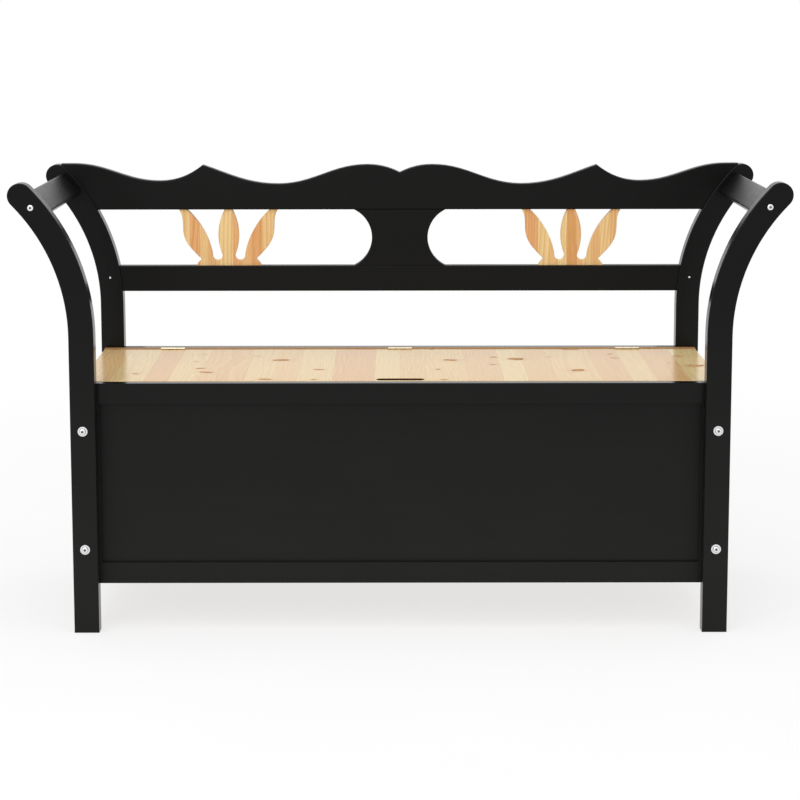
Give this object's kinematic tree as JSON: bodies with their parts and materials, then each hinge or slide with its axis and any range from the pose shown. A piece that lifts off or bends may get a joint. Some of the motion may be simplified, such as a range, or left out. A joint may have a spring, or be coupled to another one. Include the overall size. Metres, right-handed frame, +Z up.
{
  "type": "storage bench",
  "caption": "Black painted wooden storage bench with flared arms, a wavy fretwork back and a hinged natural wood lid over a chest.",
  "frame": {"origin": "middle of the footprint, on the floor under the legs", "axes": "+X along the bench to the right of someone facing it, +Y from front to back, +Z up"},
  "size_m": [1.2628, 0.4284, 0.7446],
  "materials": {
    "black_paint": "satin black paint on fir",
    "lacquered_fir": "clear gloss lacquer on edge-glued fir staves",
    "fretwork_fir": "clear lacquer on warm-toned fir",
    "plain_fir": "thin matte lacquer on fir",
    "plywood": "sanded plywood",
    "beech_dowel": "fluted beech",
    "zinc_steel": "bright zinc plated steel"
  },
  "bodies": {
    "bench": {"arm_dowels": "beech_dowel", "arm_screws": "zinc_steel", "armrest_left": "black_paint", "armrest_right": "black_paint", "back_lower_rail": "black_paint", "back_splat": "black_paint", "bolt_cross_nuts": "zinc_steel", "bolt_washers": "zinc_steel", "crest_dowels": "beech_dowel", "crest_rail": "black_paint", "floor_panel": "plywood", "front_bottom_rail": "black_paint", "front_floor_cleat": "plain_fir", "front_left_stile": "black_paint", "front_leg_bolts": "zinc_steel", "front_leg_left": "black_paint", "front_leg_right": "black_paint", "front_panel": "black_paint", "front_right_stile": "black_paint", "front_top_rail": "black_paint", "hinge_pins": "zinc_steel", "hinge_strip": "plain_fir", "hinge_strip_leaf_centre": "zinc_steel", "hinge_strip_leaf_left": "zinc_steel", "hinge_strip_leaf_right": "zinc_steel", "hinge_strip_screws": "zinc_steel", "left_side_bottom_rail": "black_paint", "left_side_front_stile": "black_paint", "left_side_panel": "black_paint", "left_side_rear_stile": "black_paint", "left_side_top_rail": "black_paint", "lower_rail_brads": "zinc_steel", "rear_bottom_rail": "black_paint", "rear_floor_cleat": "plain_fir", "rear_frame_dowels": "beech_dowel", "rear_left_stile": "black_paint", "rear_leg_bolts": "zinc_steel", "rear_leg_left": "black_paint", "rear_leg_right": "black_paint", "rear_panel": "black_paint", "rear_right_stile": "black_paint", "rear_strip_screws": "zinc_steel", "rear_top_rail": "black_paint", "right_side_bottom_rail": "black_paint", "right_side_front_stile": "black_paint", "right_side_panel": "black_paint", "right_side_rear_stile": "black_paint", "right_side_top_rail": "black_paint", "splat_dowels": "beech_dowel", "tulip_left": "fretwork_fir", "tulip_pins": "beech_dowel", "tulip_right": "fretwork_fir"},
    "lid": {"hinge_lid_leaf_centre": "zinc_steel", "hinge_lid_leaf_left": "zinc_steel", "hinge_lid_leaf_right": "zinc_steel", "hinge_lid_screws": "zinc_steel", "lid_batten_screws": "zinc_steel", "lid_front_batten": "plain_fir", "lid_rear_batten": "plain_fir", "seat_lid": "lacquered_fir"}
  },
  "joints": [
    {"name": "lid_hinge", "type": "hinge", "parent": "bench", "child": "lid", "pos_m": [0, 0.1627, 0.414], "axis": [-1, 0, 0], "range_deg": [0, 93]}
  ]
}
